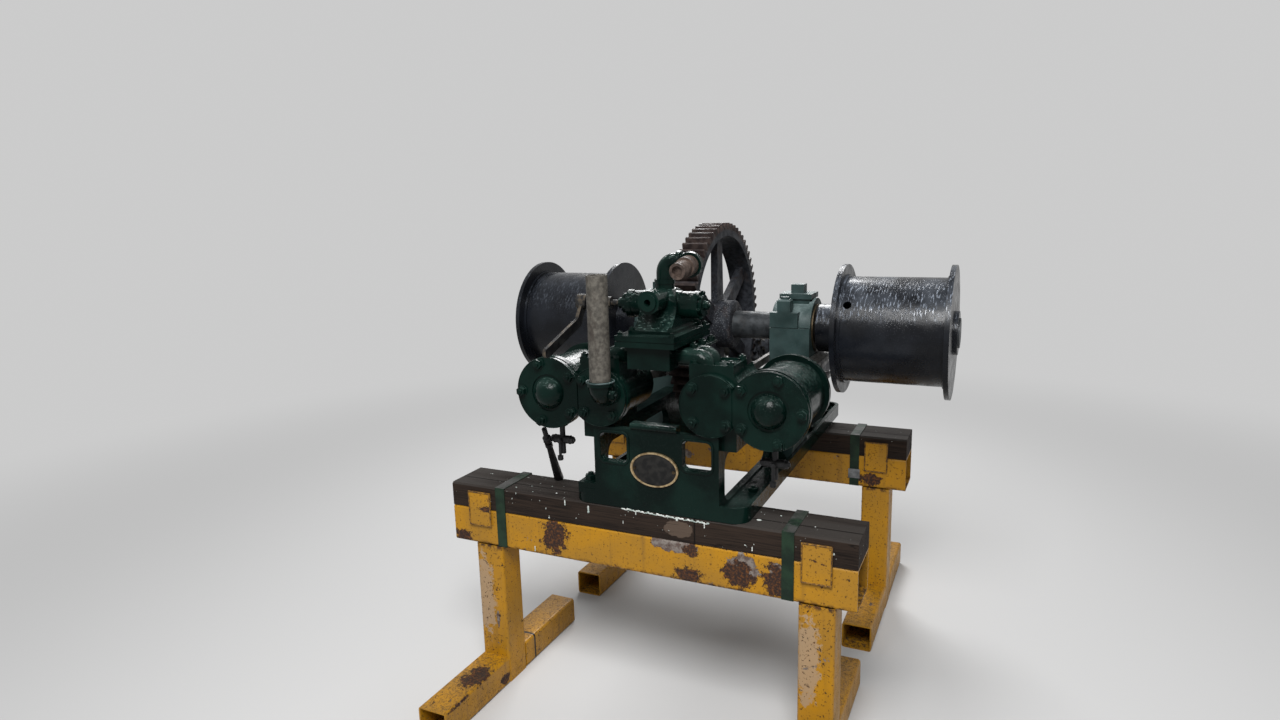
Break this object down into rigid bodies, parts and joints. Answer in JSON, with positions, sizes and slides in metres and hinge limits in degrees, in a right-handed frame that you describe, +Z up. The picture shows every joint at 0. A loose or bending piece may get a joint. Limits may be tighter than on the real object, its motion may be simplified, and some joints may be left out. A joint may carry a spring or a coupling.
{
  "type": "steam winch",
  "caption": "Twin-cylinder steam winch with geared rope drums on one shaft, a hand control valve and an exhaust stack, standing on steel trestles with timbers",
  "frame": {"origin": "on the floor, under the middle of the overall box, midway between the trestles", "axes": "X along the drum shaft, Y from the cylinder covers to the back, Z up"},
  "size_m": [1.42, 1.622, 1.3934],
  "materials": {
    "green_enamel": "dark green gloss enamel, oily and wet",
    "green_pedestal": "green enamel dulled by steam",
    "blue_black_drum": "blue-black gloss paint, wet",
    "dark_shaft": "dull dark steel",
    "gear_iron": "dark iron, brown at the tooth tips",
    "bright_steel": "oiled bright steel",
    "bronze": "oiled bearing bronze",
    "plate_black": "black field with a brass rim",
    "lever_steel": "black steel worn bright on the edges",
    "stack_pipe": "weathered grey-brown pipe",
    "rusty_coupling": "rusty galvanised fitting",
    "yellow_steel": "chrome yellow paint, chipped and rusty",
    "old_timber": "dark weathered hardwood with paint drips",
    "green_strap": "green painted band, worn grey"
  },
  "bodies": {
    "bed": {"trestle_feet": "yellow_steel", "trestle_posts": "yellow_steel", "trestle_beams": "yellow_steel", "timbers": "old_timber", "cleats": "yellow_steel", "straps": "green_strap", "left_cheek": "green_enamel", "right_cheek": "green_enamel", "front_plate": "green_enamel", "rear_plate": "green_enamel", "nameplate": "plate_black", "left_cylinder": "green_enamel", "right_cylinder": "green_enamel", "cylinder_covers": "green_enamel", "chest_covers": "green_enamel", "rear_covers": "green_enamel", "drain_cocks": "lever_steel", "crankshaft": "bright_steel", "crank_discs": "gear_iron", "crank_bearings": "green_enamel", "connecting_rods": "bright_steel", "crossheads": "bright_steel", "guide_bars": "bright_steel", "valve_rods": "bright_steel", "pedestals": "green_pedestal", "pedestal_caps": "green_pedestal", "shaft_bushes": "bronze", "dog_clutch": "gear_iron", "distribution_casting": "green_enamel", "control_valve": "green_enamel", "valve_bonnets": "green_enamel", "steam_inlet": "green_enamel", "hose_coupling": "rusty_coupling", "exhaust_elbow": "green_enamel", "exhaust_stack": "stack_pipe"},
    "drum": {"drum_shaft": "dark_shaft", "drum_barrels": "blue_black_drum", "inner_flanges": "blue_black_drum", "outer_flanges": "blue_black_drum", "spur_wheel": "gear_iron"},
    "pinion": {"pinion": "gear_iron"},
    "lever": {"control_lever": "lever_steel"}
  },
  "joints": [
    {"name": "drum_spin", "type": "hinge", "parent": "bed", "child": "drum", "pos_m": [0, 0.101, 1.067], "axis": [1, 0, 0], "continuous": true},
    {"name": "pinion_spin", "type": "hinge", "parent": "bed", "child": "pinion", "pos_m": [0, 0.46647, 0.949], "axis": [1, 0, 0], "continuous": true},
    {"name": "lever_turn", "type": "hinge", "parent": "bed", "child": "lever", "pos_m": [0, -0.405, 1.194], "axis": [1, 0, 0], "range_deg": [-50, 5]}
  ],
  "couplings": [
    {"joint": "pinion_spin", "follows": "drum_spin", "ratio": -4.7143}
  ]
}
